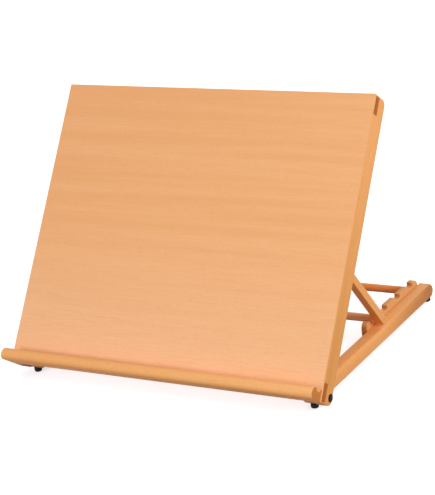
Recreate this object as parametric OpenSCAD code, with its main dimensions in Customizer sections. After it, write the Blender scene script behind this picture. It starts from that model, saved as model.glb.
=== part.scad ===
// Tabletop drawing board: a plywood panel on two side battens, tilted on a low beech base.
// A swinging strut at the back drops its bar into the notches of two racks on the base.
// X runs across the board, Y from the front to the back, Z up. The origin is on the table,
// under the middle of the whole object.

/* [Drawing board] */
// Width of the board over both side battens
board_w = 450; // [360:5:600]
// Height of the board, measured up its slope
board_h = 383; // [365:0.5:430]
// Angle of the board above the table, with the strut in the front notch
tilt = 54.7; // [48:0.1:60]
// Thickness of the plywood panel
panel_t = 3; // [3:0.5:6]

/* [Board frame] */
// Width of each side batten
stile_w = 15; // [13:0.5:22]
// Depth of each side batten behind the panel
stile_d = 28; // [24:0.5:34]
// Radius of the two back corners of a side batten
stile_corner_r = 8; // [2:0.5:10]
// Height of the top and bottom rails, measured up the board
cross_rail_w = 22.5; // [18:0.5:30]
// Thickness of the top and bottom rails
cross_rail_t = 10; // [5:0.5:11]
// Distance of these rails from the lower and upper edges of the board
cross_rail_up = 2; // [1:0.5:6]

/* [Ledge] */
// How far the ledge stands out from the panel
ledge_out = 26; // [22:0.5:34]
// Height of the ledge
ledge_h = 15.5; // [14:0.5:20]
// How far the ledge hangs below the lower edge of the board
ledge_drop = 0; // [0:0.5:3]
// Radius of the front upper edge of the ledge
ledge_top_r = 8.5; // [3:0.5:9]
// Radius of the front lower edge of the ledge
ledge_low_r = 6.5; // [1:0.5:6.5]
// Radius of the pencil groove
groove_r = 6.5; // [5:0.25:7]
// Depth of the pencil groove
groove_deep = 4.25; // [2:0.25:5]
// Flat left between the panel and the pencil groove
groove_land = 3; // [1:0.25:4]
// Number of screws that hold the ledge
ledge_screws_n = 4; // [2:1:8]

/* [Base] */
// Width of each base rail
rail_w = 16.5; // [14:0.5:20]
// Height of each base rail
rail_h = 18; // [16:0.5:24]
// Radius of the outer upper edge of each base rail
rail_top_r = 3.5; // [1:0.25:5]
// Radius of the other edges of each base rail
rail_edge_r = 1; // [0.5:0.25:2]
// Length of rail behind the end of the rack
rail_tail = 12.5; // [10:0.5:30]
// Diameter of the two crossbars of the base
crossbar_d = 10.5; // [8:0.5:12]
// Height of the crossbars above the underside of the rails
crossbar_up = 10.5; // [8:0.5:11]
// Depth of the crossbars in the rails
crossbar_in = 9; // [5:0.5:9]
// Distance of the front crossbar behind the board's pivot
front_crossbar_back = 45; // [30:1:80]
// Distance of the rear crossbar in front of the end of the racks
rear_crossbar_front = 7.5; // [7.5:0.5:13]

/* [Racks] */
// Thickness of each rack
rack_w = 8; // [6:0.5:14]
// Height of the tooth tips above the rails
rack_rise = 9.75; // [8:0.25:14]
// Depth of a notch below the tooth tips
notch_deep = 5; // [4:0.25:6]
// Distance from one notch to the next
notch_pitch = 40.5; // [34:0.5:60]
// Number of notches
notches = 4; // [2:1:6]
// Length of rack in front of the first notch
rack_lead = 18; // [17.5:0.5:30]
// Length of the last tooth
rack_end = 18.5; // [15:0.5:30]
// Radius of the tooth tips
tip_r = 1.6; // [0.5:0.1:2.5]
// Fall of a tooth's top behind its tip, in degrees
tip_slope = 1; // [0:0.5:4]
// Length of the slope from a tooth's top down to the next floor
notch_ramp = 6; // [4:0.5:7]
// Flat floor of a notch in front of the middle of the bar
notch_flat = 2.25; // [2:0.25:3]
// Radius of the front upper corner of a rack
rack_front_r = 8; // [1:0.5:8.5]
// Radius of the rear upper corner of a rack
rack_rear_r = 13; // [4:0.5:14]
// Height of the underside of the racks above that of the rails
rack_lift = 1; // [0:0.5:2]
// Number of screws in each rack
rack_screws_n = 3; // [2:1:5]

/* [Strut] */
// Height of the strut's pivot above the lower edge of the board
strut_pivot_up = 179.5; // [170:0.5:188]
// Thickness of each strut arm
arm_t = 10.5; // [8:0.25:12]
// Length of arm beyond the strut's bar
arm_tail = 7; // [5:0.5:8]
// Radius of the corners at the foot of an arm
arm_foot_r = 3; // [1:0.25:4]
// Diameter of the strut's bar
bar_d = 10.5; // [9:0.5:12.5]
// Diameter of the tenons on the ends of the strut's bar
tenon_d = 5.5; // [4:0.25:6.5]

/* [Feet] */
// Height of each rubber foot
foot_h = 6; // [5:0.5:12]
// Diameter of each rubber foot
foot_d = 10; // [8:0.5:12]
// Distance of the feet in from the outer faces of the rails
foot_side = 1; // [0.5:0.25:3]
// Distance of the rear feet in front of the end of the rails
rear_foot_in = 10.5; // [9:0.5:40]
// Chamfer of the lower edge of a foot
foot_chamfer = 1.5; // [0.2:0.1:2]
// Diameter of the head of the pin that holds a foot
foot_pin_head_d = 4; // [3:0.25:5]
// Thickness of that head
foot_pin_head_t = 1; // [0.5:0.1:1.5]
// Diameter of the pin
foot_pin_d = 2; // [1.5:0.1:2.5]
// Depth of the recess for the head of the pin
foot_recess = 2; // [1:0.25:3]
// Depth of the pin in the rail
foot_pin_in = 4.5; // [3:0.5:5]

/* [Fasteners] */
// Diameter of the pivot bolts of the board
bolt_d = 6; // [4:0.25:7]
// Diameter of the black round heads of the pivot bolts
bolt_head_d = 10.5; // [8:0.25:11.5]
// Thickness of those heads
bolt_head_t = 1.5; // [1:0.25:5]
// Radius of the edge of those heads
bolt_head_r = 1; // [0.4:0.1:1]
// Thickness of the nuts of the pivot bolts
nut_t = 5; // [3:0.25:6]
// Width of the nuts across their flats
nut_af = 10; // [9:0.25:12]
// Diameter of the pivot screws of the strut
strut_screw_d = 5; // [3:0.25:5.5]
// Diameter of their heads
strut_head_d = 9; // [7:0.25:9.5]
// Thickness of their heads
strut_head_t = 3; // [2:0.25:4]
// Depth of these screws in the side battens
strut_screw_in = 11; // [6:0.5:11.5]
// Length of the bolts beyond their nuts
bolt_end = 1; // [0.5:0.25:3]
// Distance of the washers' edges in from the edges of the arms
washer_in = 0.5; // [0.25:0.25:1]
// Thickness of the washers at the pivots
washer_t = 0.5; // [0.3:0.1:1.5]
// Diameter of the wood screws
screw_d = 3; // [2:0.25:3.5]
// Radius of the edge of the pivot screws' heads
strut_head_r = 1; // [0.4:0.1:1.5]
// Diameter of the heads of the wood screws
screw_head_d = 6; // [5:0.25:6.5]
// Depth of the rack screws in the rails
rack_screw_in = 11; // [6:0.5:11.5]
// Distance of the edges of the ledge screws' heads from the lower edge of the bottom rail
ledge_screw_low = 0.5; // [0.3:0.1:8]
// Distance of the outer ledge screws in from the side battens
ledge_screw_edge = 30; // [10:1:80]
// Distance of the outer rack screws from the end of the rack and from the crossbar
rack_screw_edge = 14; // [6:1:16]
// Depth of the ledge screws in the ledge
ledge_screw_in = 12; // [8:0.5:13]

/* [Fits] */
// Gap between the faces of moving pieces
move_gap = 0.3; // [0.2:0.05:0.6]
// Play of a pin in its hole, across the diameter
hole_play = 0.15; // [0.05:0.05:0.2]
// Distance of the pivot bolts above the lower edge of the board
pivot_up = 10; // [8:0.5:14]
// Distance of the pivot bolts in from the back of the side battens
pivot_in = 6; // [6:0.25:9]
// Gap round the head of a foot's pin in its recess
recess_play = 0.2; // [0.1:0.05:0.4]
// Gap between each strut arm and the rack beside it
arm_gap = 5.5; // [0.5:0.25:7]
// Gap between the foot of the folded strut and the top rail
fold_gap = 3; // [2:0.5:10]

/* [Hidden] */
$fn = 64;

// Colours
beech = [0.90, 0.68, 0.45];
veneer = [0.93, 0.69, 0.47];
shade_beech = [0.80, 0.55, 0.33];
steel = [0.72, 0.72, 0.74];
black = [0.06, 0.06, 0.06];

// Places across the board, on its right side
side_gap = washer_t + move_gap;
stile_in = board_w / 2 - stile_w;
rail_out = stile_in - side_gap;
rail_in = rail_out - rail_w;
rack_in = rail_in - rack_w;
arm_in = rail_in + arm_gap;
arm_w = rail_out - arm_in;
foot_x = rail_out - foot_side - foot_d / 2;

// The board turns on a pivot at the middle of the base rails' height
pivot_z = foot_h + rail_h / 2;
pivot_depth = panel_t + stile_d - pivot_in;

// Place of a point of the board, s up its slope and n out of its face, from the pivot
function board_y(s, n) = (s - pivot_up) * cos(tilt) - (n + pivot_depth) * sin(tilt);
function board_z(s, n) = pivot_z + (s - pivot_up) * sin(tilt) + (n + pivot_depth) * cos(tilt);

// Heights on the base
rail_top = foot_h + rail_h;
tip_z = rail_top + rack_rise;
floor_z = tip_z - notch_deep;
rack_low = foot_h + rack_lift;
crossbar_z = foot_h + crossbar_up;

// The strut hangs from the side battens, and its bar lies in the front notch
strut_depth = panel_t + max(bar_d, arm_t) / 2 + move_gap;
top_rail_up = board_h - cross_rail_up - cross_rail_w;
strut_len = top_rail_up - fold_gap - arm_tail - strut_pivot_up;
hang_y = board_y(strut_pivot_up, -strut_depth);
hang_z = board_z(strut_pivot_up, -strut_depth);
bar_z = floor_z + bar_d / 2 + move_gap;
lean = asin((hang_z - bar_z) / strut_len);
bar_y = hang_y + strut_len * cos(lean);

// Places along the base, from the pivot
first_face = bar_y + bar_d / 2 + move_gap;
last_face = first_face + (notches - 1) * notch_pitch;
floor_len = bar_d / 2 + move_gap + notch_flat;
rack_front = bar_y - rack_lead;
rack_rear = last_face + rack_end;
rail_rear = rack_rear + rail_tail;
front_bar_y = front_crossbar_back;
front_foot_y = 0;
rear_bar_y = rack_rear - rear_crossbar_front;
rear_foot_y = rail_rear - rear_foot_in;

// The whole object is centred on the origin from front to back
low_edge_y = board_y(ledge_low_r - ledge_drop, ledge_out - ledge_low_r) - ledge_low_r;
top_edge_y = board_y(ledge_h - ledge_drop - ledge_top_r, ledge_out - ledge_top_r) - ledge_top_r;
pivot_y = -(rail_rear + min(low_edge_y, top_edge_y)) / 2;

// Screws
screw_head_h = (screw_head_d - screw_d) / 2;
ledge_screw_up = cross_rail_up + screw_head_d / 2 + ledge_screw_low;

// Moves its children to the right side, or mirrors them to the left
module on_side(side) {
    if (side > 0) children();
    else mirror([1, 0, 0]) children();
}

// Frame of the board: y up its slope, z out of its face, with z = 0 on the face
module on_board() {
    translate([0, pivot_y, pivot_z]) rotate([tilt, 0, 0])
        translate([0, -pivot_up, pivot_depth]) children();
}

// Frame of the base: y from the pivot, z from the table
module on_base() {
    translate([0, pivot_y, 0]) children();
}

// Frame of the strut: y along its arms, from its pivot
module on_strut() {
    translate([0, pivot_y + hang_y, hang_z]) rotate([-lean, 0, 0]) children();
}

// Carries a drawn profile, its first axis along y and its second along z, from x to x + w
module along_x(x, w) {
    translate([x, 0, 0]) rotate([90, 0, 90]) linear_extrude(w) children();
}

// A turned shape about x: its profile's first axis is the radius, its second runs along x
module turned_x() {
    rotate([0, 90, 0]) rotate_extrude() children();
}

// A round bar about x
module bar_x(x, w, d) {
    translate([x, 0, 0]) rotate([0, 90, 0]) cylinder(h = w, d = d);
}

// What is cut from a square corner at the origin to leave a round one of radius r.
// sy and sz point from the corner into the piece.
module corner_cut(r, sy, sz) {
    difference() {
        translate([min(0, sy * r) - (sy > 0 ? 1 : 0), min(0, sz * r) - (sz > 0 ? 1 : 0)])
            square(r + 1);
        translate([sy * r, sz * r]) circle(r);
    }
}

// Points of an arc about c, from angle a to angle b
function arc(c, r, a, b, n = 8) =
    [for (i = [0:n]) c + r * [cos(a + (b - a) * i / n), sin(a + (b - a) * i / n)]];

// A countersunk wood screw that points along -z, with the top of its head at z = 0
module wood_screw(length) {
    rotate_extrude() polygon([
        [0, 0], [screw_head_d / 2, 0], [screw_d / 2, -screw_head_h],
        [screw_d / 2, -length + screw_d], [0, -length]
    ]);
}

// Drawing board

module drawing_panel() {
    color(veneer) on_board() difference() {
        translate([-board_w / 2, 0, -panel_t]) cube([board_w, board_h, panel_t]);
        ledge_screw_set();
    }
}

module stile(side) {
    color(beech) on_board() on_side(side) difference() {
        along_x(stile_in, stile_w) difference() {
            translate([0, -panel_t - stile_d]) square([board_h, stile_d]);
            translate([0, -panel_t - stile_d]) corner_cut(stile_corner_r, 1, 1);
            translate([board_h, -panel_t - stile_d]) corner_cut(stile_corner_r, -1, 1);
            translate([cross_rail_up, -panel_t - cross_rail_t])
                square([cross_rail_w, cross_rail_t + 1]);
            translate([top_rail_up, -panel_t - cross_rail_t])
                square([cross_rail_w, cross_rail_t + 1]);
        }
        translate([0, pivot_up, -pivot_depth]) bar_x(stile_in - 1, stile_w + 2, bolt_d + hole_play);
        translate([0, strut_pivot_up, -strut_depth])
            bar_x(stile_in - 1, strut_screw_in + 1, strut_screw_d);
    }
}

module cross_rail(up) {
    translate([-board_w / 2, up, -panel_t - cross_rail_t])
        cube([board_w, cross_rail_w, cross_rail_t]);
}

module top_rail() {
    color(shade_beech) on_board() cross_rail(top_rail_up);
}

module bottom_rail() {
    color(shade_beech) on_board() difference() {
        cross_rail(cross_rail_up);
        ledge_screw_set();
    }
}

module ledge() {
    top = ledge_h - ledge_drop;
    color(beech) on_board() difference() {
        along_x(-board_w / 2, board_w) difference() {
            translate([-ledge_drop, 0]) square([ledge_h, ledge_out]);
            translate([-ledge_drop, ledge_out]) corner_cut(ledge_low_r, 1, -1);
            translate([top, ledge_out]) corner_cut(ledge_top_r, -1, -1);
            translate([top + groove_r - groove_deep, groove_land + groove_r]) circle(groove_r);
        }
        ledge_screw_set();
    }
}

// The ledge screws go in from the back of the bottom rail
module ledge_screw_set() {
    span = board_w - 2 * (stile_w + ledge_screw_edge);
    for (i = [0:ledge_screws_n - 1])
        translate([span * (i / (ledge_screws_n - 1) - 0.5), ledge_screw_up, -panel_t - cross_rail_t])
            rotate([180, 0, 0]) wood_screw(cross_rail_t + panel_t + ledge_screw_in);
}

module ledge_screws() {
    color(steel) on_board() ledge_screw_set();
}

// A pan-headed screw through an arm into the side batten, which the arm swings on
module strut_screw(side) {
    head_x = arm_in - move_gap - strut_head_t;
    color(steel) on_board() on_side(side) translate([head_x, strut_pivot_up, -strut_depth])
        turned_x() union() {
            square([strut_screw_d / 2, stile_in + strut_screw_in - head_x]);
            difference() {
                square([strut_head_d / 2, strut_head_t]);
                translate([strut_head_d / 2, 0]) corner_cut(strut_head_r, -1, 1);
            }
        }
}

module strut_washers() {
    color(steel) on_board() for (side = [-1, 1]) on_side(side)
        translate([stile_in - washer_t, strut_pivot_up, -strut_depth]) turned_x() difference() {
            square([arm_t / 2 - washer_in, washer_t]);
            square([strut_screw_d / 2, washer_t]);
        }
}

// Strut

module strut_arm(side) {
    color(beech) on_strut() on_side(side) difference() {
        along_x(arm_in, arm_w) difference() {
            union() {
                circle(d = arm_t);
                translate([0, -arm_t / 2]) square([strut_len + arm_tail, arm_t]);
            }
            for (up = [-1, 1]) translate([strut_len + arm_tail, up * arm_t / 2])
                corner_cut(arm_foot_r, -1, -up);
        }
        bar_x(arm_in - 1, arm_w + 2, strut_screw_d + hole_play);
        translate([0, strut_len, 0]) bar_x(arm_in - 1, arm_w + 2, tenon_d);
    }
}

// A dowel between the arms, with a thinner tenon in each
module strut_bar() {
    color(shade_beech) on_strut() translate([0, strut_len, 0]) {
        bar_x(-arm_in, 2 * arm_in, bar_d);
        bar_x(-arm_in - arm_w, 2 * (arm_in + arm_w), tenon_d);
    }
}

// Base

// Outline of a rail: its front end is round about the pivot, and its rear end is round too
module rail_outline() {
    translate([0, foot_h]) square([rail_rear - rail_h / 2, rail_h]);
    for (y = [0, rail_rear - rail_h / 2]) translate([y, pivot_z]) circle(d = rail_h);
}

// Section across a rail, with its height as the second axis
module rail_section() {
    difference() {
        translate([rail_in, foot_h]) square([rail_w, rail_h]);
        translate([rail_in, foot_h]) corner_cut(rail_edge_r, 1, 1);
        translate([rail_out, foot_h]) corner_cut(rail_edge_r, -1, 1);
        translate([rail_in, rail_top]) corner_cut(rail_edge_r, 1, -1);
        translate([rail_out, rail_top]) corner_cut(rail_top_r, -1, -1);
    }
}

module base_rail(side) {
    color(beech) on_base() on_side(side) difference() {
        intersection() {
            along_x(rail_in, rail_w) rail_outline();
            translate([0, rail_rear + 1, 0]) rotate([90, 0, 0])
                linear_extrude(rail_rear + rail_h + 2) rail_section();
        }
        translate([0, 0, pivot_z]) bar_x(rail_in - 1, rail_w + 2, bolt_d);
        for (y = [front_bar_y, rear_bar_y]) translate([0, y, crossbar_z])
            bar_x(rail_in - 1, crossbar_in + 1, crossbar_d);
        for (y = [front_foot_y, rear_foot_y]) translate([foot_x, y, 0])
            cylinder(h = foot_h + foot_pin_in, d = foot_pin_d);
        rack_screw_set();
    }
}

module crossbar(y) {
    reach = rail_in + crossbar_in;
    color(shade_beech) on_base() translate([0, y, crossbar_z])
        bar_x(-reach, 2 * reach, crossbar_d);
}

module front_crossbar() crossbar(front_bar_y);

module rear_crossbar() crossbar(rear_bar_y);

// Saw-tooth outline: each notch has a slope down to a flat floor and a steep rear face, which
// ends in a round tip, and the tooth's top runs nearly level from there to the next notch
module rack_outline() {
    top = tip_z;
    fall = (notch_pitch - floor_len - notch_ramp - tip_r) * tan(tip_slope);
    teeth = [for (k = [0:notches - 1]) let (face = first_face + k * notch_pitch) concat(
        [[face - floor_len - notch_ramp, k > 0 ? top - fall : top]],
        [[face - floor_len, floor_z], [face, floor_z]],
        arc([face + tip_r, top - tip_r], tip_r, 180, 90 - tip_slope)
    )];
    polygon(concat(
        [[rack_front, rack_low]],
        arc([rack_front + rack_front_r, top - rack_front_r], rack_front_r, 180, 90),
        [for (tooth = teeth) for (p = tooth) p],
        arc([rack_rear - rack_rear_r, top - rack_rear_r], rack_rear_r, 90, 0, 16),
        [[rack_rear, rack_low]]
    ));
}

module rack(side) {
    color(beech) on_base() on_side(side) difference() {
        along_x(rack_in, rack_w) rack_outline();
        translate([0, rear_bar_y, crossbar_z]) bar_x(rack_in - 1, rack_w + 2, crossbar_d);
        rack_screw_set();
    }
}

// The rack screws go in from the inner face of the rack
module rack_screw_set() {
    from = rack_front + rack_screw_edge;
    to = rear_bar_y - crossbar_d / 2 - rack_screw_edge;
    for (i = [0:rack_screws_n - 1])
        translate([rack_in, from + (to - from) * i / (rack_screws_n - 1), crossbar_z])
            rotate([0, -90, 0]) wood_screw(rack_w + rack_screw_in);
}

module rack_screws() {
    color(steel) on_base() for (side = [-1, 1]) on_side(side) rack_screw_set();
}

// The board turns on two bolts with round black heads, whose nuts lie inside the base
module pivot_bolt(side) {
    under_head = board_w / 2 + move_gap;
    tip = rail_in - nut_t - bolt_end;
    color(black) on_base() on_side(side) translate([tip, 0, pivot_z]) turned_x() union() {
        square([bolt_d / 2, under_head - tip + bolt_head_t / 2]);
        translate([0, under_head - tip]) difference() {
            square([bolt_head_d / 2, bolt_head_t]);
            translate([bolt_head_d / 2, bolt_head_t]) corner_cut(bolt_head_r, -1, -1);
        }
    }
}

module pivot_washers() {
    color(steel) on_base() for (side = [-1, 1]) on_side(side)
        translate([rail_out, 0, pivot_z]) turned_x() difference() {
            square([rail_h / 2 - washer_in, washer_t]);
            square([bolt_d / 2, washer_t]);
        }
}

module pivot_nuts() {
    color(steel) on_base() for (side = [-1, 1]) on_side(side)
        translate([rail_in - nut_t, 0, pivot_z]) rotate([0, 90, 0]) difference() {
            cylinder(h = nut_t, d = nut_af / cos(30), $fn = 6);
            translate([0, 0, -1]) cylinder(h = nut_t + 2, d = bolt_d);
        }
}

// A rubber foot, hollowed below for the head of its pin
module foot(side, y) {
    color(black) on_base() on_side(side) translate([foot_x, y, 0])
        rotate_extrude() difference() {
            polygon([
                [0, 0], [foot_d / 2 - foot_chamfer, 0], [foot_d / 2, foot_chamfer],
                [foot_d / 2, foot_h], [0, foot_h]
            ]);
            square([foot_pin_head_d / 2 + recess_play, foot_recess]);
            square([foot_pin_d / 2, foot_h]);
        }
}

module foot_pins() {
    color(steel) on_base() for (side = [-1, 1], y = [front_foot_y, rear_foot_y]) on_side(side)
        translate([foot_x, y, 0]) rotate_extrude() union() {
            translate([0, foot_recess - foot_pin_head_t])
                square([foot_pin_head_d / 2, foot_pin_head_t]);
            translate([0, foot_recess - foot_pin_head_t])
                square([foot_pin_d / 2, foot_h + foot_pin_in - foot_recess + foot_pin_head_t]);
        }
}

drawing_panel();
stile(-1);  // left_stile
stile(1);  // right_stile
top_rail();
bottom_rail();
ledge();
ledge_screws();
strut_screw(-1);  // left_strut_screw
strut_screw(1);  // right_strut_screw
strut_washers();
strut_arm(-1);  // left_strut_arm
strut_arm(1);  // right_strut_arm
strut_bar();
base_rail(-1);  // left_base_rail
base_rail(1);  // right_base_rail
front_crossbar();
rear_crossbar();
rack(-1);  // left_rack
rack(1);  // right_rack
rack_screws();
pivot_bolt(-1);  // left_pivot_bolt
pivot_bolt(1);  // right_pivot_bolt
pivot_washers();
pivot_nuts();
foot(-1, front_foot_y);  // front_left_foot
foot(1, front_foot_y);  // front_right_foot
foot(-1, rear_foot_y);  // rear_left_foot
foot(1, rear_foot_y);  // rear_right_foot
foot_pins();
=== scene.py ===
import math

import bmesh
import bpy
import numpy as np
from mathutils import Matrix, Vector
from mathutils.geometry import delaunay_2d_cdt


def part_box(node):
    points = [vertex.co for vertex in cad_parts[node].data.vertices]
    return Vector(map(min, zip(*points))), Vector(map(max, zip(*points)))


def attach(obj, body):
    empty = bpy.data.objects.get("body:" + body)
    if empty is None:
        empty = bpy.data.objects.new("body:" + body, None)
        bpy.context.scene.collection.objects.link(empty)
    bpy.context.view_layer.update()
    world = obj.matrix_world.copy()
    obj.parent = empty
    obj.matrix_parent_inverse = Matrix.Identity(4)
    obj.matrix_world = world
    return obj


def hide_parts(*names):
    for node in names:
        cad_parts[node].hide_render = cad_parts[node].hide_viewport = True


# Tabletop drawing board in lacquered beech. Lengths in the dictionaries are in
# millimetres; x runs across the board, y to the back, z up.
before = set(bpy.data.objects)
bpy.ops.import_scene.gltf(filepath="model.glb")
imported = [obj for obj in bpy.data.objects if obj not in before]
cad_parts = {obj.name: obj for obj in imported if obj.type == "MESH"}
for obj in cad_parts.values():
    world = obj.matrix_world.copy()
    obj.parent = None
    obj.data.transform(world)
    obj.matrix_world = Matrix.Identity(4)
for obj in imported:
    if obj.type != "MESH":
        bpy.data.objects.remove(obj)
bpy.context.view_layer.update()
scene = bpy.context.scene
mm = 0.001
print("frame loaded with", len(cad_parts), "nodes")

# Camera: its place in the part's frame, and its direction as yaw, pitch and roll in radians
cameraView = {"place": (1111.3, -1792.4, 883.5), "yaw": 0.5554, "pitch": 0.3424,
              "roll": 0.1222, "lens": 125.23, "sensor": 36.0, "farClip": 50000.0}


def makeCamera(view):
    # Ahead is yaw and pitch as a direction; right and up are level and down turned by the roll
    sy, cy = math.sin(view["yaw"]), math.cos(view["yaw"])
    sp, cp = math.sin(view["pitch"]), math.cos(view["pitch"])
    sr, cr = math.sin(view["roll"]), math.cos(view["roll"])
    ahead = Vector((-sy * cp, cy * cp, -sp))
    level = Vector((cy, sy, 0.0))
    down = ahead.cross(level)
    right = level * cr + down * sr
    up = level * sr - down * cr
    data = bpy.data.cameras.new("camera")
    data.lens = view["lens"]
    data.sensor_width = view["sensor"]
    data.clip_end = view["farClip"] * mm
    camera = bpy.data.objects.new("camera", data)
    turn = Matrix((right, up, -ahead)).transposed()
    camera.matrix_world = Matrix.Translation(Vector(view["place"]) * mm) @ turn.to_4x4()
    scene.collection.objects.link(camera)
    scene.camera = camera


makeCamera(cameraView)
print("camera set")


def hexColour(text):
    # sRGB hex to linear RGBA: v / 12.92 when dark, otherwise ((v + 0.055) / 1.055) ^ 2.4
    parts = np.array([int(text[i:i + 2], 16) for i in (1, 3, 5)]) / 255
    linear = np.where(parts <= 0.04045, parts / 12.92, ((parts + 0.055) / 1.055) ** 2.4)
    return (*[float(v) for v in linear], 1.0)


def addNode(tree, kind, values=None):
    # Adds one node. A value is another node's output, which is linked, or what an input or
    # a property of the node is set to.
    node = tree.nodes.new(kind)
    for name, value in (values or {}).items():
        if isinstance(value, bpy.types.NodeSocket):
            tree.links.new(value, node.inputs[name])
        elif isinstance(name, int) or name in node.inputs:
            node.inputs[name].default_value = value
        else:
            setattr(node, name, value)
    return node


def newMaterial(name):
    material = bpy.data.materials.new(name)
    material.use_nodes = True
    material.node_tree.nodes.clear()
    return material, material.node_tree


# Lacquered beech: pale pinkish brown, close even grain, short darker ray flecks along the
# grain and broad soft bands. The lacquer is satin, so edges take only a soft light.
# Each share says how far a layer moves the wood to the colour that the layer names.
beechLook = {
    "bandShare": 0.45, "fibreShare": 0.30, "fleckShare": 0.22, "poreShare": 0.35,
    "pore": 1.1, "poreDetail": 2.0, "poreRough": 0.6, "poreRange": (0.42, 0.66),
    "endRange": (0.72, 0.94), "glossRange": (0.3, 0.7), "roughness": (0.45, 0.57),
    "specular": 0.02, "coat": 0.14, "coatRoughness": 0.28, "ior": 1.5,
    "relief": 0.12, "reliefDepth": 0.06,
}
# Length and width of each layer's features along and across the grain, its noise, and the
# range of the noise over which it sets in. Real fibres are finer than a pixel of the
# render, so they are drawn coarser.
beechLayers = {
    "band": {"length": 420.0, "width": 13.0, "detail": 2.0, "rough": 0.5, "shift": 91.0,
             "range": (0.38, 0.64), "colour": "dark"},
    "fibre": {"length": 34.0, "width": 1.3, "detail": 3.0, "rough": 0.62, "shift": 0.0,
              "range": (0.40, 0.66), "colour": "dark"},
    "fleck": {"length": 5.0, "width": 0.9, "detail": 1.0, "rough": 0.5, "shift": 37.0,
              "range": (0.60, 0.74), "colour": "pore"},
}


def paintedLightWood(tree, wood, fade, place, normal):
    # Painted light and shade: a slow change of colour along y once the coordinates are
    # turned. A second colour, where there is one, holds on the faces that don't look
    # sideways, which are painted as lit while the sideways faces take the painted shade.
    goal = hexColour(fade["colour"])
    if "level" in fade:
        ways = addNode(tree, "ShaderNodeSeparateXYZ", {"Vector": normal})
        sideways = addNode(tree, "ShaderNodeMath", {"operation": "ABSOLUTE", 0: ways.outputs["X"]})
        low, high = fade["sideRange"]
        side = addNode(tree, "ShaderNodeMapRange", {"Value": sideways.outputs["Value"],
                                                    "From Min": low, "From Max": high})
        goal = addNode(tree, "ShaderNodeMix",
                       {"data_type": "RGBA", 0: side.outputs["Result"],
                        6: hexColour(fade["level"]), 7: goal}).outputs[2]
    along = addNode(tree, "ShaderNodeSeparateXYZ", {"Vector": place})
    share = addNode(tree, "ShaderNodeMapRange",
                    {"Value": along.outputs["Y"], "From Min": fade["start"] * mm,
                     "From Max": fade["stop"] * mm, "To Max": fade["share"]})
    return addNode(tree, "ShaderNodeMix", {"data_type": "RGBA", 0: share.outputs["Result"],
                                           6: wood, 7: goal}).outputs[2]


def beechMaterial(name, colours, turn=0.0, grain="y", change=None, fade=None):
    # Object coordinates are turned about x until the grain runs along x or y, then divided
    # by the real length and width of each feature, so that one unit of noise is one feature.
    look = dict(beechLook, **(change or {}))
    tone = {key: hexColour(value) for key, value in colours.items()}
    angle = math.radians(turn)
    material, tree = newMaterial(name)
    where = addNode(tree, "ShaderNodeTexCoord")
    turned = addNode(tree, "ShaderNodeMapping",
                     {"vector_type": "TEXTURE", "Rotation": (angle, 0, 0),
                      "Vector": where.outputs["Object"]}).outputs["Vector"]

    wood, noise = tone["light"], {}
    for key, layer in beechLayers.items():
        size = [layer["width"] * mm] * 3
        size["xyz".index(grain)] = layer["length"] * mm
        place = addNode(tree, "ShaderNodeMapping",
                        {"vector_type": "TEXTURE", "Location": [layer["shift"] * mm] * 3,
                         "Scale": size, "Vector": turned})
        noise[key] = addNode(tree, "ShaderNodeTexNoise",
                             {"Scale": 1.0, "Detail": layer["detail"],
                              "Roughness": layer["rough"],
                              "Vector": place.outputs["Vector"]}).outputs["Fac"]
        low, high = layer["range"]
        share = addNode(tree, "ShaderNodeMapRange",
                        {"Value": noise[key], "From Min": low, "From Max": high,
                         "To Max": look[key + "Share"]})
        wood = addNode(tree, "ShaderNodeMix",
                       {"data_type": "RGBA", 0: share.outputs["Result"], 6: wood,
                        7: tone[layer["colour"]]}).outputs[2]
        # Painted light and shade of the fade, where one is given, goes over the broad bands
        if fade and key == "band":
            wood = paintedLightWood(tree, wood, fade, turned, where.outputs["Normal"])

    # End grain drinks the lacquer and turns dark: where the surface faces along the grain
    pores = addNode(tree, "ShaderNodeTexNoise",
                    {"Scale": 1 / (look["pore"] * mm), "Detail": look["poreDetail"],
                     "Roughness": look["poreRough"], "Vector": turned})
    low, high = look["poreRange"]
    share = addNode(tree, "ShaderNodeMapRange",
                    {"Value": pores.outputs["Fac"], "From Min": low, "From Max": high,
                     "To Max": look["poreShare"]})
    endWood = addNode(tree, "ShaderNodeMix", {"data_type": "RGBA", 0: share.outputs["Result"],
                                              6: tone["end"], 7: tone["pore"]})
    along = (1, 0, 0) if grain == "x" else (0, math.cos(angle), math.sin(angle))
    facing = addNode(tree, "ShaderNodeVectorMath", {"operation": "DOT_PRODUCT", 1: along,
                                                    0: where.outputs["Normal"]})
    size = addNode(tree, "ShaderNodeMath", {"operation": "ABSOLUTE", 0: facing.outputs["Value"]})
    low, high = look["endRange"]
    share = addNode(tree, "ShaderNodeMapRange",
                    {"Value": size.outputs["Value"], "From Min": low, "From Max": high})
    wood = addNode(tree, "ShaderNodeMix", {"data_type": "RGBA", 0: share.outputs["Result"],
                                           6: wood, 7: endWood.outputs[2]}).outputs[2]

    # The fibres also move the gloss and lift the surface
    low, high = look["glossRange"]
    smooth, rough = look["roughness"]
    gloss = addNode(tree, "ShaderNodeMapRange",
                    {"Value": noise["fibre"], "From Min": low, "From Max": high,
                     "To Min": smooth, "To Max": rough})
    relief = addNode(tree, "ShaderNodeBump",
                     {"Strength": look["relief"], "Distance": look["reliefDepth"] * mm,
                      "Height": noise["fibre"]})
    shader = addNode(tree, "ShaderNodeBsdfPrincipled",
                     {"IOR": look["ior"], "Specular IOR Level": look["specular"],
                      "Coat Weight": look["coat"], "Coat Roughness": look["coatRoughness"],
                      "Base Color": wood, "Normal": relief.outputs["Normal"],
                      "Roughness": gloss.outputs["Result"]})
    addNode(tree, "ShaderNodeOutputMaterial", {"Surface": shader.outputs["BSDF"]})
    return material


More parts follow.
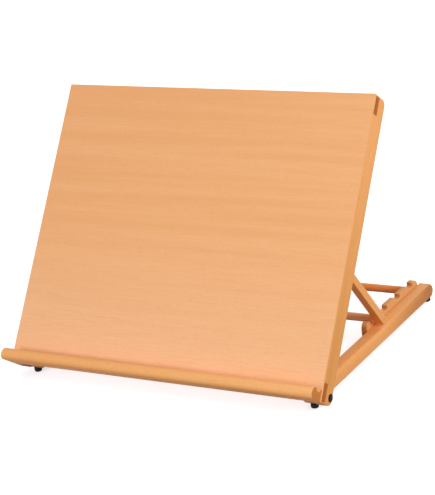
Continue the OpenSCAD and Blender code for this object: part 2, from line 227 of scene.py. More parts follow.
# Beech plywood edge: thin veneers that run crosswise in turn, seen as lines of two tones.
# The wave between them turns over at blend, and the lines fade in over edgeRange as a
# face turns away from the panel's own.
plywoodLook = {"veneer": 1.0, "light": "#fcc48c", "dark": "#eeb076", "blend": 0.4,
               "edgeRange": (0.35, 0.15)}


def plywoodEdge(material, tilt, faceOut):
    # Adds the lines of the veneers to a panel's edges: sin(pi depth / veneer), with the
    # depth behind the face, picks the light or the dark colour.
    look, angle = plywoodLook, math.radians(tilt)
    tree = material.node_tree
    shader = next(n for n in tree.nodes if n.type == "BSDF_PRINCIPLED")
    face = shader.inputs["Base Color"].links[0].from_socket
    where = addNode(tree, "ShaderNodeTexCoord")
    out = (0.0, -math.sin(angle), math.cos(angle))
    height = addNode(tree, "ShaderNodeVectorMath", {"operation": "DOT_PRODUCT", 1: out,
                                                    0: where.outputs["Object"]})
    depth = addNode(tree, "ShaderNodeMath", {"operation": "SUBTRACT", 1: faceOut * mm,
                                             0: height.outputs["Value"]})
    phase = addNode(tree, "ShaderNodeMath",
                    {"operation": "MULTIPLY", 1: math.pi / (look["veneer"] * mm),
                     0: depth.outputs["Value"]})
    wave = addNode(tree, "ShaderNodeMath", {"operation": "SINE", 0: phase.outputs["Value"]})
    share = addNode(tree, "ShaderNodeMapRange",
                    {"Value": wave.outputs["Value"], "From Min": -look["blend"],
                     "From Max": look["blend"]})
    lines = addNode(tree, "ShaderNodeMix",
                    {"data_type": "RGBA", 0: share.outputs["Result"],
                     6: hexColour(look["light"]), 7: hexColour(look["dark"])})
    facing = addNode(tree, "ShaderNodeVectorMath", {"operation": "DOT_PRODUCT", 1: out,
                                                    0: where.outputs["Normal"]})
    size = addNode(tree, "ShaderNodeMath", {"operation": "ABSOLUTE", 0: facing.outputs["Value"]})
    start, stop = look["edgeRange"]
    onEdge = addNode(tree, "ShaderNodeMapRange",
                     {"Value": size.outputs["Value"], "From Min": start, "From Max": stop})
    final = addNode(tree, "ShaderNodeMix", {"data_type": "RGBA", 0: onEdge.outputs["Result"],
                                            6: face, 7: lines.outputs[2]})
    tree.links.new(final.outputs[2], shader.inputs["Base Color"])


# The noise of a plain finish: over its middle range it moves tint and roughness by the two
# spreads, and it lifts the surface by the depth of the relief
plainLook = {"detail": 2.0, "rough": 0.55, "range": (0.3, 0.7), "tintSpread": 0.08,
             "roughSpread": 0.05, "reliefDepth": 0.02}


def plainMaterial(name, colour, metallic, roughness, grit, relief, specular=0.5):
    # A plain finish with a fine grain, from noise in which one unit is the grit's size
    look = plainLook
    low, high = look["range"]
    material, tree = newMaterial(name)
    where = addNode(tree, "ShaderNodeTexCoord")
    noise = addNode(tree, "ShaderNodeTexNoise",
                    {"Scale": 1 / (grit * mm), "Detail": look["detail"],
                     "Roughness": look["rough"], "Vector": where.outputs["Object"]}).outputs["Fac"]
    tint = addNode(tree, "ShaderNodeMapRange",
                   {"Value": noise, "From Min": low, "From Max": high,
                    "To Min": 1 - look["tintSpread"], "To Max": 1 + look["tintSpread"]})
    shade = addNode(tree, "ShaderNodeVectorMath",
                    {"operation": "SCALE", 0: hexColour(colour)[:3],
                     "Scale": tint.outputs["Result"]})
    rough = addNode(tree, "ShaderNodeMapRange",
                    {"Value": noise, "From Min": low, "From Max": high,
                     "To Min": roughness - look["roughSpread"],
                     "To Max": roughness + look["roughSpread"]})
    bump = addNode(tree, "ShaderNodeBump",
                   {"Strength": relief, "Distance": look["reliefDepth"] * mm, "Height": noise})
    shader = addNode(tree, "ShaderNodeBsdfPrincipled",
                     {"Metallic": metallic, "Specular IOR Level": specular,
                      "Base Color": shade.outputs["Vector"],
                      "Roughness": rough.outputs["Result"], "Normal": bump.outputs["Normal"]})
    addNode(tree, "ShaderNodeOutputMaterial", {"Surface": shader.outputs["BSDF"]})
    return material


# Places in millimetres, taken from the frame
def middleOf(node):
    low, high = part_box(node)
    return (low + high) / (2 * mm)


def spanOf(node, axis):
    low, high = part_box(node)
    return low[axis] / mm, high[axis] / mm


def sideOf(node):
    return node.split("_")[0]


pivot = middleOf("pivot_washers")
hang = middleOf("strut_washers")
barMiddle = middleOf("strut_bar")
# The board's own frame: its slope in degrees, and its pivot up that slope and behind the face
boardFrame = {"tilt": 54.7, "pivotUp": 10.0, "pivotDepth": 25.0, "height": 383.0, "panel": 3.0}
tilt = boardFrame["tilt"]
tiltAngle = math.radians(tilt)
# Distance of the panel's face from the frame's origin, along its outward normal
faceOut = (-pivot.y * math.sin(tiltAngle) + pivot.z * math.cos(tiltAngle)
           + boardFrame["pivotDepth"])
leanAngle = math.atan2(hang.z - barMiddle.z, barMiddle.y - hang.y)
lean = -math.degrees(leanAngle)
strutLength = math.hypot(hang.z - barMiddle.z, barMiddle.y - hang.y)


def onBoard(s, n):
    # To y and z: the pivot, plus s up the slope and n out of the face, turned by the tilt
    ds, dn = s - boardFrame["pivotUp"], n + boardFrame["pivotDepth"]
    c, k = math.cos(tiltAngle), math.sin(tiltAngle)
    return pivot.y + ds * c - dn * k, pivot.z + ds * k + dn * c


def onBase(y, z):
    # The base's outlines are in y and z as they are
    return y, z


def onStrut(a, b):
    # To y and z: the strut's pivot, plus a along the arms and b across, turned by the lean
    c, k = math.cos(leanAngle), math.sin(leanAngle)
    return hang.y + a * c + b * k, hang.z - a * k + b * c


# Meshes: points closer than merge become one, and edges steeper than sharp degrees stay
# crisp. A plank's ends are drawn in over endSteps, and filled with points that lie closer
# than meetGap taken as one. Its holes open by holeFlare at both ends. An axis counts as
# upright when its z is over upright.
meshing = {"merge": 0.002, "sharp": 34.0, "endSteps": 3, "holeSides": 32, "holeFlare": 0.1,
           "leastRadius": 0.02, "meetGap": 1e-7, "upright": 0.9, "turnedSides": 48}


def roundedOutline(corners, inset=0.0, steps=8):
    # corners: (u, v, radius), counted anticlockwise. The sides first move in by the inset,
    # which shortens an outer corner's radius and lengthens an inner one's. Each corner is
    # then swapped for an arc that touches both its sides: its centre lies on the bisector
    # at radius / sin(half the corner's angle).
    points = np.array([c[:2] for c in corners], float)
    radii = np.array([c[2] for c in corners], float)
    side = np.roll(points, -1, 0) - points
    side /= np.linalg.norm(side, axis=1)[:, None]
    normal = np.stack([side[:, 1], -side[:, 0]], 1)
    last = np.roll(normal, 1, 0)
    points = points - inset * (normal + last) / (1 + (normal * last).sum(1))[:, None]
    came = np.roll(side, 1, 0)
    outer = came[:, 0] * side[:, 1] - came[:, 1] * side[:, 0] > 0
    rounded = np.where(outer, np.maximum(radii - inset, meshing["leastRadius"]), radii + inset)
    parts = []
    for p, a, b, r, given in zip(points, -came, side, rounded, radii):
        if given <= 0:
            parts.append(p[None])
            continue
        half = math.acos(np.clip(a @ b, -1, 1)) / 2
        centre = p + (a + b) / np.linalg.norm(a + b) * r / math.sin(half)
        first = p + a * r / math.tan(half) - centre
        final = p + b * r / math.tan(half) - centre
        start = math.atan2(first[1], first[0])
        sweep = (math.atan2(final[1], final[0]) - start + math.pi) % (2 * math.pi) - math.pi
        angles = start + sweep * np.linspace(0, 1, steps + 1)
        parts.append(centre + r * np.stack([np.cos(angles), np.sin(angles)], 1))
    return np.concatenate(parts)


def arcPoints(centre, radius, start, stop, count):
    # Centre plus radius times cosine and sine of angles from start to stop, in degrees
    angles = np.radians(np.linspace(start, stop, count))
    return np.stack([centre[0] + radius * np.cos(angles), centre[1] + radius * np.sin(angles)], 1)


def makePiece(name, points, faces, material, slot, body, nodes):
    # A closed mesh with its doubles merged and its faces outward, which stands for the nodes
    mesh = bpy.data.meshes.new(name)
    mesh.from_pydata(np.asarray(points) * mm, [], faces)
    mesh.validate()
    shape = bmesh.new()
    shape.from_mesh(mesh)
    bmesh.ops.remove_doubles(shape, verts=shape.verts, dist=meshing["merge"] * mm)
    bmesh.ops.recalc_face_normals(shape, faces=shape.faces)
    shape.to_mesh(mesh)
    shape.free()
    mesh.polygons.foreach_set("use_smooth", np.ones(len(mesh.polygons), bool))
    mesh.set_sharp_from_angle(angle=math.radians(meshing["sharp"]))
    mesh.materials.append(material)
    piece = bpy.data.objects.new(name, mesh)
    scene.collection.objects.link(piece)
    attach(piece, body)
    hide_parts(*nodes)
    return piece


def ringFaces(rings, count, offset=0):
    # Quads between neighbouring rings of a grid that closes on itself
    i, j = np.meshgrid(np.arange(rings - 1), np.arange(count), indexing="ij")
    k = (j + 1) % count
    quads = np.stack([i * count + j, i * count + k, (i + 1) * count + k, (i + 1) * count + j], -1)
    return (quads.reshape(-1, 4) + offset).tolist()


def plank(name, corners, place, x0, x1, arris, material, slot, body, nodes, holes=(), steps=8):
    # A board: the outline carried from x0 to x1. Over the last arris millimetres each end
    # draws in by arris (1 - sin a) while x moves by arris (1 - cos a), a quarter circle.
    # The arris is one number, or a pair of pairs: for each end the amount at the lowest and at
    # the highest point of the outline, between which it goes with the height.
    spots = np.array([c[:2] for c in corners], float)
    ahead = np.roll(spots, -1, 0)
    if (spots[:, 0] * ahead[:, 1] - ahead[:, 0] * spots[:, 1]).sum() < 0:
        corners = corners[::-1]
    ends = arris if isinstance(arris, tuple) else ((arris, arris),) * 2
    outline = roundedOutline(corners, 0.0, steps)
    height = (outline[:, 1] - outline[:, 1].min()) / np.ptp(outline[:, 1])
    amounts = [low + (high - low) * height for low, high in ends]
    angles = np.linspace(0, math.pi / 2, meshing["endSteps"] + 1)
    fade, step = 1 - np.sin(angles), 1 - np.cos(angles)
    xs = np.concatenate([x0 + step[:, None] * amounts[0], x1 - step[::-1, None] * amounts[1]])
    lows = np.concatenate([fade * ends[0][0], fade[::-1] * ends[1][0]])
    highs = np.concatenate([fade * ends[0][1], fade[::-1] * ends[1][1]])
    rings = ((1 - height)[:, None] * np.stack([roundedOutline(corners, d, steps) for d in lows])
             + height[:, None] * np.stack([roundedOutline(corners, d, steps) for d in highs]))

    # A hole is a circle about (u, v), carried from end to end, that opens a little at both
    turn = -np.arange(meshing["holeSides"]) * 2 * math.pi / meshing["holeSides"]
    circle = np.stack([np.cos(turn), np.sin(turn)], 1)
    flare = meshing["holeFlare"] * np.concatenate([fade, fade[::-1]])
    loops = [rings] + [np.array([u, v]) + (r + flare)[:, None, None] * circle[None]
                       for u, v, r in holes]
    rims = np.concatenate([x0 + ends[0][0] * step, x1 - ends[1][0] * step[::-1]])
    points, faces, offsets, counts = [], [], [], []
    for loop in loops:
        y, z = place(loop[..., 0], loop[..., 1])
        x = xs if loop is rings else np.broadcast_to(rims[:, None], y.shape)
        offsets.append(sum(len(p) for p in points))
        counts.append(loop.shape[1])
        points.append(np.stack([x, y, z], -1).reshape(-1, 3))
        faces += ringFaces(len(xs), counts[-1], offsets[-1])

    # Both ends: triangles between the first ring of the outline and those of the holes.
    # A triangle with all its corners on one hole lies inside that hole and is left out.
    flat = np.concatenate([loop[0] for loop in loops])
    edges, base = [], 0
    for count in counts:
        k = np.arange(count)
        edges += (np.stack([k, (k + 1) % count], 1) + base).tolist()
        base += count
    result = delaunay_2d_cdt([Vector(p) for p in flat.tolist()], edges, [], 2,
                             meshing["meetGap"])
    original = np.array([group[0] for group in result[3]])
    triangles = original[np.array(result[2])]
    owner = np.repeat(np.arange(len(loops)), counts)[triangles]
    triangles = triangles[(owner[:, 0] == 0) | (owner != owner[:, :1]).any(1)]
    near = np.concatenate([np.arange(count) + start for start, count in zip(offsets, counts)])
    far = near + (len(xs) - 1) * np.repeat(counts, counts)
    faces += near[triangles[:, ::-1]].tolist() + far[triangles].tolist()
    return makePiece(name, np.concatenate(points), faces, material, slot, body, nodes)


def crossAxes(axis):
    # The axis at length one, and two directions square to it and to each other
    axis = np.asarray(axis, float) / np.linalg.norm(axis)
    other = [0.0, 1.0, 0.0] if abs(axis[2]) > meshing["upright"] else [0.0, 0.0, 1.0]
    first = np.cross(axis, other)
    first /= np.linalg.norm(first)
    return axis, first, np.cross(axis, first)


def turnedPiece(profile, axis, centre, count=meshing["turnedSides"]):
    # profile: (radius, height) rows. A point is the centre, plus height along the axis,
    # plus radius at an angle about it. Rows of no radius close to a point.
    profile = np.asarray(profile, float)
    axis, first, second = crossAxes(axis)
    turn = np.arange(count) * 2 * math.pi / count
    around = np.cos(turn)[:, None] * first + np.sin(turn)[:, None] * second
    points = (np.asarray(centre, float) + profile[:, 1, None, None] * axis
              + profile[:, 0, None, None] * around[None])
    return points.reshape(-1, 3), ringFaces(len(profile), count)


def joined(parts):
    # Several meshes as one: each one's faces count on from the points before it
    points, faces, offset = [], [], 0
    for p, f in parts:
        points.append(p)
        faces += (np.array(f) + offset).tolist()
        offset += len(p)
    return np.concatenate(points), faces


# Tones of the wood, piece by piece. The three changes below are painted light and shade,
# from start to stop along y of the coordinates that were turned with the grain
battenTones = {"light": "#e7a762", "dark": "#db944e", "end": "#d48946", "pore": "#b4682e"}
ledgeTones = {"light": "#fcbf81", "dark": "#f2ad6c", "end": "#cf8748", "pore": "#b2682f"}
panelTones = {"light": "#f9be8a", "dark": "#f0ac74", "end": "#d79d63", "pore": "#d9945e"}
crossRailTones = {"light": "#e79a5a", "dark": "#d38343", "end": "#b96820", "pore": "#9c4e16"}
baseTones = {"light": "#f8b572", "dark": "#eba05b", "end": "#d98c48", "pore": "#bd6c30"}
rackTones = {"light": "#e8ad73", "dark": "#d89c61", "end": "#cf8a52", "pore": "#b06c3c"}
dowelTones = {"light": "#ffaa66", "dark": "#ea924d", "end": "#d6803c", "pore": "#ae5a29"}
barTones = {"light": "#fac79f", "dark": "#ecb083", "end": "#eaa766", "pore": "#cf7f44"}
# Painted light: the panel's veneer turns paler and pinker towards its foot, a painted sheen
paintedFootLight = {"colour": "#fccaa0", "start": 130.0, "stop": -86.0, "share": 0.85}
# Painted light: the battens turn lighter towards their top, where more light falls
paintedTopLight = {"colour": "#fdb978", "start": 0.0, "stop": 220.0, "share": 0.85}
# Painted shade: the base rails' sideways faces turn darker towards the rear, while their other
# faces take the paler level colour there instead
paintedRearShade = {"colour": "#a8652f", "level": "#edb680", "sideRange": (0.05, 0.6),
            "start": 38.0, "stop": 188.0, "share": 0.80}

# The veneer carries painted light towards the panel's foot
veneerWood = beechMaterial("beechVeneerLacquered", panelTones, tilt, "x",
                           change={"bandShare": 0.40}, fade=paintedFootLight)
plywoodEdge(veneerWood, tilt, faceOut)
# The battens carry painted light towards their top
battenWood = beechMaterial("beechBattenLacquered", battenTones, tilt, "y", fade=paintedTopLight)
ledgeWood = beechMaterial("beechLedgeLacquered", ledgeTones, tilt, "x",
                          change={"coat": 0.05})
crossRailWood = beechMaterial("beechCrossRailLacquered", crossRailTones, tilt, "x")
# The base rails carry painted shade on their sides towards the rear
railWood = beechMaterial("beechBaseRailLacquered", baseTones, 0.0, "y", fade=paintedRearShade)
rackWood = beechMaterial("beechRackLacquered", rackTones, 0.0, "y")
strutWood = beechMaterial("beechStrutLacquered", baseTones, lean, "y")
dowelWood = beechMaterial("beechDowelLacquered", dowelTones, 0.0, "x")
barWood = beechMaterial("beechStrutBarLacquered", barTones, 0.0, "x")
# Zinc-plated steel: bright grey, fine grain of the plating
zincSteel = plainMaterial("zincPlatedSteel", colour="#c9cacc", metallic=1.0, roughness=0.32,
                          grit=0.5, relief=0.06)
# Black lacquered steel of the bolt heads: almost black, soft gloss
blackSteel = plainMaterial("blackLacqueredSteel", colour="#0a0706", metallic=0.0,
                           roughness=0.50, grit=0.6, relief=0.05, specular=0.12)
# Moulded rubber of the feet: black and dull
blackRubber = plainMaterial("mouldedRubber", colour="#0b0a0a", metallic=0.0, roughness=0.66,
                            grit=0.4, relief=0.2, specular=0.25)
print("materials made")

# Drawing board: the panel, the side battens, and the cross rails that are let into them
board = {"panelEdge": 0.5, "panelArris": 0.45, "battenDepth": 28.0, "battenCorner": 8.0,
         "battenEdge": 0.6, "battenArris": 0.9, "socketEdge": 0.15, "railLow": 2.0,
         "railWidth": 22.5, "railThick": 10.0, "railEdge": 0.4, "railArris": 0.35,
         "boltHole": 3.08}
high, thick = boardFrame["height"], boardFrame["panel"]
xLow, xHigh = spanOf("drawing_panel", 0)
edge = board["panelEdge"]
panelOutline = [(0, -thick, edge), (high, -thick, edge), (high, 0, edge), (0, 0, edge)]
plank("drawingPanel", panelOutline, onBoard, xLow, xHigh, board["panelArris"], veneerWood,
      "veneer", "board", ["drawing_panel"])

back, slotDeep = -thick - board["battenDepth"], -thick - board["railThick"]
lowA, lowB = board["railLow"], board["railLow"] + board["railWidth"]
topB, topA = high - board["railLow"], high - board["railLow"] - board["railWidth"]
corner, edge, e = board["battenCorner"], board["battenEdge"], board["socketEdge"]
battenOutline = [
    (0, back, corner), (high, back, corner), (high, -thick, edge), (topB, -thick, e),
    (topB, slotDeep, e), (topA, slotDeep, e), (topA, -thick, e), (lowB, -thick, e),
    (lowB, slotDeep, e), (lowA, slotDeep, e), (lowA, -thick, e), (0, -thick, edge)]
for node in ("left_stile", "right_stile"):
    x0, x1 = spanOf(node, 0)
    plank(sideOf(node) + "Batten", battenOutline, onBoard, x0, x1, board["battenArris"],
          battenWood, "beech", "board", [node],
          [(boardFrame["pivotUp"], -boardFrame["pivotDepth"], board["boltHole"])])
e = board["railEdge"]
for node, s0, s1 in (("bottom_rail", lowA, lowB), ("top_rail", topA, topB)):
    outline = [(s0, slotDeep, e), (s1, slotDeep, e), (s1, -thick, e), (s0, -thick, e)]
    plank(sideOf(node) + "Rail", outline, onBoard, xLow, xHigh, board["railArris"],
          crossRailWood, "dark_beech", "board", [node])
print("board made")

# Pencil ledge with a round groove along it
ledge = {"out": 26.0, "high": 15.5, "backEdge": 0.4, "topRound": 8.5, "lowRound": 6.5,
         "groove": 6.5, "grooveDeep": 4.25, "land": 3.0, "arris": 0.9, "grooveSteps": 22,
         "roundSteps": 14}
rise = ledge["groove"] - ledge["grooveDeep"]
centre = (ledge["high"] + rise, ledge["land"] + ledge["groove"])
reach = math.degrees(math.acos(rise / ledge["groove"]))
hollow = arcPoints(centre, ledge["groove"], 180 + reach, 180 - reach, ledge["grooveSteps"])
ledgeOutline = ([(0, 0, ledge["backEdge"]), (ledge["high"], 0, ledge["backEdge"])]
                + [(u, v, 0.0) for u, v in hollow.tolist()]
                + [(ledge["high"], ledge["out"], ledge["topRound"]),
                   (0, ledge["out"], ledge["lowRound"])])
plank("pencilLedge", ledgeOutline, onBoard, xLow, xHigh, ledge["arris"], ledgeWood, "beech",
      "board", ["ledge"], steps=ledge["roundSteps"])
print("ledge made")

# Base rails: both ends are round, in two quarters that stop a hair short of meeting. The
# outer upper edge is rounded by topArris, the other edges by arris.
base = {"arris": 1.0, "topArris": 3.5, "boltHole": 3.0, "roundGap": 0.01, "roundSteps": 16}
for node in ("left_base_rail", "right_base_rail"):
    x0, x1 = spanOf(node, 0)
    y0, y1 = spanOf(node, 1)
    z0, z1 = spanOf(node, 2)
    r = (z1 - z0) / 2 - base["roundGap"]
    outline = [(y0, z0, r), (y1, z0, r), (y1, z1, r), (y0, z1, r)]
    sides = [(base["arris"], base["arris"]), (base["arris"], base["topArris"])]
    plank(sideOf(node) + "BaseRail", outline, onBase, x0, x1,
          tuple(sides if x0 > 0 else sides[::-1]), railWood, "beech", "base", [node],
          [(pivot.y, pivot.z, base["boltHole"])], base["roundSteps"])

# Racks: each notch has an upright face with a round tip, a flat floor and a ramp before it
rack = {"notchPitch": 40.5, "notches": 4, "deep": 5.0, "flat": 7.8, "ramp": 6.0, "tip": 1.6,
        "tipSteps": 9, "fall": 0.43, "front": 8.0, "rear": 13.0, "end": 18.5,
        "lowEdge": 0.6, "floorRound": 0.7, "rampRound": 1.5, "firstRound": 0.4,
        "arris": 0.7, "crossbar": 5.25, "roundSteps": 10}
rearBar = middleOf("rear_crossbar")
for node in ("left_rack", "right_rack"):
    x0, x1 = spanOf(node, 0)
    y0, y1 = spanOf(node, 1)
    z0, z1 = spanOf(node, 2)
    floor = z1 - rack["deep"]
    firstFace = y1 - rack["end"] - (rack["notches"] - 1) * rack["notchPitch"]
    corners = [(y0, z0, rack["lowEdge"]), (y1, z0, rack["lowEdge"]), (y1, z1, rack["rear"])]
    for k in reversed(range(rack["notches"])):
        face = firstFace + k * rack["notchPitch"]
        tip = arcPoints((face + rack["tip"], z1 - rack["tip"]), rack["tip"], 90, 180,
                        rack["tipSteps"])
        flatEnd, fall = face - rack["flat"], rack["fall"] if k else 0.0
        corners += [(u, v, 0.0) for u, v in tip.tolist()]
        corners += [(face, floor, rack["floorRound"]), (flatEnd, floor, rack["floorRound"]),
                    (flatEnd - rack["ramp"], z1 - fall,
                     rack["rampRound"] if k else rack["firstRound"])]
    corners.append((y0, z1, rack["front"]))
    plank(sideOf(node) + "Rack", corners, onBase, x0, x1, rack["arris"], rackWood, "beech",
          "base", [node], [(rearBar.y, rearBar.z, rack["crossbar"])], rack["roundSteps"])

# Dowels: the two crossbars, and the strut's bar with a thinner tenon at each end
dowel = {"chamfer": 0.6, "tenon": 2.75, "tenonEnd": 0.15}
for node, name in (("front_crossbar", "frontCrossbar"), ("rear_crossbar", "rearCrossbar")):
    x0, x1 = spanOf(node, 0)
    z0, z1 = spanOf(node, 2)
    r, c = (z1 - z0) / 2, dowel["chamfer"]
    profile = [(0, 0), (r - c, 0), (r, c), (r, x1 - x0 - c), (r - c, x1 - x0), (0, x1 - x0)]
    place = middleOf(node)
    makePiece(name, *turnedPiece(profile, (1, 0, 0), (x0, place.y, place.z)), dowelWood,
              "dark_beech", "base", [node])
x0, x1 = spanOf("strut_bar", 0)
z0, z1 = spanOf("strut_bar", 2)
armIn = spanOf("right_strut_arm", 0)[0]
r, t, e = (z1 - z0) / 2, dowel["tenon"], dowel["tenonEnd"]
half = [(0, -x1), (t - e, -x1), (t, -x1 + e), (t, -armIn), (r, -armIn), (r, 0)]
profile = half + [(a, -b) for a, b in half[:-1][::-1]]
makePiece("strutBar", *turnedPiece(profile, (1, 0, 0), (0, barMiddle.y, barMiddle.z)), barWood,
          "dark_beech", "strut", ["strut_bar"])

# Strut arms: round at the pivot, with small rounds at the foot
strut = {"thick": 10.5, "tail": 7.0, "foot": 3.0, "arris": 0.9, "screwHole": 2.58,
         "roundGap": 0.01, "tenonGap": 0.02, "roundSteps": 14}
for node in ("left_strut_arm", "right_strut_arm"):
    x0, x1 = spanOf(node, 0)
    h, end = strut["thick"] / 2, strutLength + strut["tail"]
    r = h - strut["roundGap"]
    outline = [(-h, -h, r), (end, -h, strut["foot"]), (end, h, strut["foot"]), (-h, h, r)]
    plank(sideOf(node) + "StrutArm", outline, onStrut, x0, x1, strut["arris"], strutWood,
          "beech", "strut", [node],
          [(0, 0, strut["screwHole"]), (strutLength, 0, dowel["tenon"] + strut["tenonGap"])],
          strut["roundSteps"])
print("base and strut made")

# Feet: turned, with a recess below for the pin's head and the pin's hole up the middle
foot = {"edge": 2.0, "recess": 2.2, "recessDeep": 2.0, "hole": 1.0, "topEdge": 0.4,
        "edgeSteps": 5}
for node, name in (("front_left_foot", "frontLeftFoot"), ("front_right_foot", "frontRightFoot"),
                   ("rear_left_foot", "rearLeftFoot"), ("rear_right_foot", "rearRightFoot")):
    x0, x1 = spanOf(node, 0)
    z0, z1 = spanOf(node, 2)
    r, tall, e, t = (x1 - x0) / 2, z1 - z0, foot["edge"], foot["topEdge"]
    turn = np.linspace(0, math.pi / 2, foot["edgeSteps"] + 1)
    lowEdge = np.stack([r - e + e * np.sin(turn), e - e * np.cos(turn)], 1)
    topEdge = np.stack([r - t * (1 - np.cos(turn)), tall - t * (1 - np.sin(turn))], 1)
    inner, deep = foot["hole"], foot["recessDeep"]
    profile = np.concatenate([[(inner, deep), (foot["recess"], deep), (foot["recess"], 0.0)],
                              lowEdge, topEdge, [(inner, tall), (inner, deep)]])
    place = middleOf(node)
    makePiece(name, *turnedPiece(profile, (0, 0, 1), (place.x, place.y, z0)), blackRubber,
              "rubber", "base", [node])

# Pivot bolts: a plain shank, and a flat head whose upper side is a quarter of an ellipse
bolt = {"radius": 3.0, "tipChamfer": 0.5, "headRadius": 5.25, "headThick": 1.5,
        "headChamfer": 0.15, "rim": 0.5, "domeSteps": 11}
for node, way in (("left_pivot_bolt", -1), ("right_pivot_bolt", 1)):
    x0, x1 = spanOf(node, 0)
    inner, outer = (x0, x1) if way > 0 else (-x1, -x0)
    under = outer - bolt["headThick"]
    angles = np.linspace(0, 1, bolt["domeSteps"] + 1) * math.pi / 2
    dome = np.stack([bolt["headRadius"] * np.cos(angles),
                     under + bolt["rim"] + (bolt["headThick"] - bolt["rim"]) * np.sin(angles)], 1)
    r, c, head, e = bolt["radius"], bolt["tipChamfer"], bolt["headRadius"], bolt["headChamfer"]
    profile = np.concatenate([[(0, inner), (r - c, inner), (r, inner + c), (r, under),
                               (head - e, under), (head, under + e)], dome])
    makePiece(sideOf(node) + "PivotBolt",
              *turnedPiece(profile, (way, 0, 0), (0, pivot.y, pivot.z)), blackSteel,
              "black_steel", "base", [node])

# Screws. A cross is given for a head of radius crossHead, and grows with the head. Its
# sides slope over crossSlope of its width, its arms reach crossReach of the head's radius,
# and it is crossShare of the dome and crossDeep more deep.
screws = {"woodHead": 2.9, "woodShank": 1.45, "woodDome": 0.35, "woodCone": 1.4,
          "woodCross": 1.0, "ledgeCount": 4, "ledgeEdge": 30.0, "ledgeUp": 5.5,
          "ledgeLong": 24.0, "rackCount": 3, "rackEdge": 14.0, "rackLong": 18.0,
          "strutHead": 4.5, "strutHeadThick": 3.0, "strutDome": 0.9, "strutShank": 2.45,
          "strutCross": 1.3, "crossHead": 4.5, "crossSlope": 0.25, "crossReach": 0.62,
          "crossShare": 0.75, "crossDeep": 0.35, "sides": 64, "rings": 22}


def screwWithCross(centre, axis, headRadius, dome, shank, length, crossWidth, cone=0.0, wall=0.0):
    # A head as a polar grid: its height is a cap, dome (1 - (r/R)^2), less a cross whose depth
    # falls from the middle to its tips. Below it come the head's wall, its cone and the shank.
    count = screws["sides"]
    below = [(0.0, -length), (shank, -length + shank), (shank, -wall - cone),
             (headRadius, -wall), (headRadius, 0.0)]
    low = turnedPiece(below, axis, centre, count)[0]
    axis, first, second = crossAxes(axis)
    turn = np.arange(count) * 2 * math.pi / count
    radius = headRadius * np.linspace(1, 0, screws["rings"])
    rr, tt = np.meshgrid(radius, turn, indexing="ij")
    u, v = rr * np.cos(tt), rr * np.sin(tt)
    across = np.minimum(np.abs(u), np.abs(v))
    out = np.maximum(np.abs(u), np.abs(v))
    width = crossWidth * headRadius / screws["crossHead"]
    edge = np.clip((width / 2 - across) / (screws["crossSlope"] * width) + 0.5, 0, 1)
    deep = np.sqrt(np.clip(1 - out / (screws["crossReach"] * headRadius), 0, 1))
    height = (dome * (1 - (rr / headRadius) ** 2)
              - (screws["crossShare"] * dome + screws["crossDeep"]) * edge * deep)
    top = (np.asarray(centre, float) + u[..., None] * first + v[..., None] * second
           + height[..., None] * axis)
    return (np.concatenate([low, top.reshape(-1, 3)]),
            ringFaces(len(below) + screws["rings"], count))


outNormal = np.array([0.0, -math.sin(tiltAngle), math.cos(tiltAngle)])
woodHead = [screws[key] for key in ("woodHead", "woodDome", "woodShank")]
reachX = spanOf("right_stile", 0)[0] - screws["ledgeEdge"]
y, z = onBoard(screws["ledgeUp"], slotDeep)
parts = [screwWithCross((x, y, z), -outNormal, *woodHead, screws["ledgeLong"],
                        screws["woodCross"], screws["woodCone"])
         for x in np.linspace(-reachX, reachX, screws["ledgeCount"])]
makePiece("ledgeScrews", *joined(parts), zincSteel, "steel", "board", ["ledge_screws"])

rackIn = spanOf("right_rack", 0)[0]
y0 = spanOf("right_rack", 1)[0] + screws["rackEdge"]
y1 = rearBar.y - rack["crossbar"] - screws["rackEdge"]
parts = [screwWithCross((way * rackIn, y, rearBar.z), (-way, 0, 0), *woodHead,
                        screws["rackLong"], screws["woodCross"], screws["woodCone"])
         for way in (-1, 1) for y in np.linspace(y0, y1, screws["rackCount"])]
makePiece("rackScrews", *joined(parts), zincSteel, "steel", "base", ["rack_screws"])

for node, way in (("left_strut_screw", -1), ("right_strut_screw", 1)):
    x0, x1 = spanOf(node, 0)
    inner, outer = (x0, x1) if way > 0 else (-x1, -x0)
    dome = screws["strutDome"]
    screw = screwWithCross((way * (inner + dome), hang.y, hang.z), (-way, 0, 0),
                           screws["strutHead"], dome, screws["strutShank"],
                           outer - inner - dome, screws["strutCross"], 0.0,
                           screws["strutHeadThick"] - dome)
    makePiece(sideOf(node) + "StrutScrew", *screw, zincSteel, "steel", "board", [node])

for node in ("strut_washers", "pivot_washers", "pivot_nuts", "foot_pins"):
    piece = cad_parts[node]
    piece.data.materials.clear()
    piece.data.materials.append(zincSteel)
print("feet, bolts and screws made")

# Floor, soft boxes and background; lengths and places are in metres here
stage = {"floor": 9.0, "floorCells": 4, "floorWhite": 0.80, "floorBounce": "#a08862",
         "floorGlow": 0.69, "glowColour": "#f3f9ff", "sky": 0.48, "skyColour": "#fff6ea",
         "aim": (0.0, 0.0, 0.15)}
lamps = {"keySoftbox": {"place": (3.3, -1.0, 1.7), "size": 1.7, "power": 72.0},
         "fillSoftbox": {"place": (-1.5, -2.35, 0.85), "size": 0.7, "power": 25.0},
         "rearSoftbox": {"place": (0.25, 3.0, 1.1), "size": 1.2, "power": 26.0}}


def groundRays(tree):
    # 1 for the rays that are to see a white ground: from the camera, mirrored or through glass
    path = addNode(tree, "ShaderNodeLightPath")
    seen = path.outputs["Is Camera Ray"]
    for ray in ("Is Glossy Ray", "Is Transmission Ray"):
        seen = addNode(tree, "ShaderNodeMath",
                       {"operation": "MAXIMUM", 0: seen, 1: path.outputs[ray]}).outputs["Value"]
    return seen


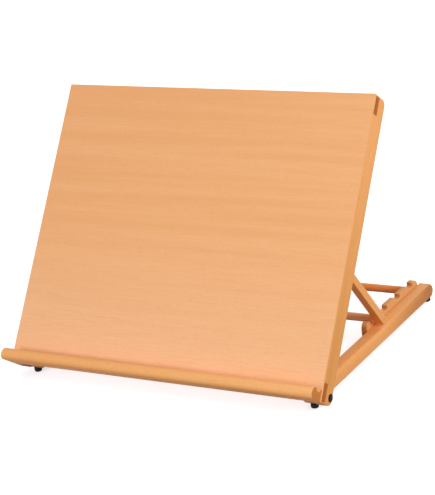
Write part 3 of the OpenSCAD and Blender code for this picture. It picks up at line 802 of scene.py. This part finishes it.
def makeFloor():
    # A flat square surface, u and v over its two sides. It glows a little for the rays
    # that see a white ground, and is warm and dull for the light that it throws back.
    side, cells = stage["floor"] / 2, stage["floorCells"]
    ticks = np.linspace(-side, side, cells + 1)
    u, v = np.meshgrid(ticks, ticks, indexing="ij")
    points = np.stack([u, v, np.zeros_like(u)], -1).reshape(-1, 3)
    i, j = np.meshgrid(np.arange(cells), np.arange(cells), indexing="ij")
    k = i * (cells + 1) + j
    quads = np.stack([k, k + cells + 1, k + cells + 2, k + 1], -1)
    mesh = bpy.data.meshes.new("floor")
    mesh.from_pydata(points, [], quads.reshape(-1, 4).tolist())
    floor = bpy.data.objects.new("floor", mesh)
    scene.collection.objects.link(floor)
    material, tree = newMaterial("paleTableTop")
    white = addNode(tree, "ShaderNodeBsdfDiffuse", {"Color": (stage["floorWhite"],) * 3 + (1.0,)})
    glow = addNode(tree, "ShaderNodeEmission",
                   {"Color": hexColour(stage["glowColour"]), "Strength": stage["floorGlow"]})
    shown = addNode(tree, "ShaderNodeAddShader",
                    {0: white.outputs["BSDF"], 1: glow.outputs["Emission"]})
    bounce = addNode(tree, "ShaderNodeBsdfDiffuse", {"Color": hexColour(stage["floorBounce"])})
    both = addNode(tree, "ShaderNodeMixShader", {0: groundRays(tree), 1: bounce.outputs["BSDF"],
                                                 2: shown.outputs["Shader"]})
    addNode(tree, "ShaderNodeOutputMaterial", {"Surface": both.outputs["Shader"]})
    mesh.materials.append(material)


def makeWorld():
    # White for the rays that see a white ground, and a warm even sky for the light itself
    world = bpy.data.worlds.new("studio")
    scene.world = world
    world.use_nodes = True
    tree = world.node_tree
    tree.nodes.clear()
    light = addNode(tree, "ShaderNodeBackground",
                    {"Color": hexColour(stage["skyColour"]), "Strength": stage["sky"]})
    white = addNode(tree, "ShaderNodeBackground", {"Color": (1, 1, 1, 1), "Strength": 1.0})
    both = addNode(tree, "ShaderNodeMixShader",
                   {0: groundRays(tree), 1: light.outputs["Background"],
                    2: white.outputs["Background"]})
    addNode(tree, "ShaderNodeOutputWorld", {"Surface": both.outputs["Shader"]})


def makeLamp(name, place, size, power):
    # A square soft box that looks at the stage's aim
    data = bpy.data.lights.new(name, "AREA")
    data.shape = "SQUARE"
    data.size = size
    data.energy = power
    lamp = bpy.data.objects.new(name, data)
    aim = Vector(stage["aim"]) - Vector(place)
    turn = aim.to_track_quat("-Z", "Y").to_matrix().to_4x4()
    lamp.matrix_world = Matrix.Translation(Vector(place)) @ turn
    scene.collection.objects.link(lamp)


makeFloor()
makeWorld()
for name, lamp in lamps.items():
    makeLamp(name, **lamp)
scene.view_settings.view_transform = "Standard"
print("stage made")
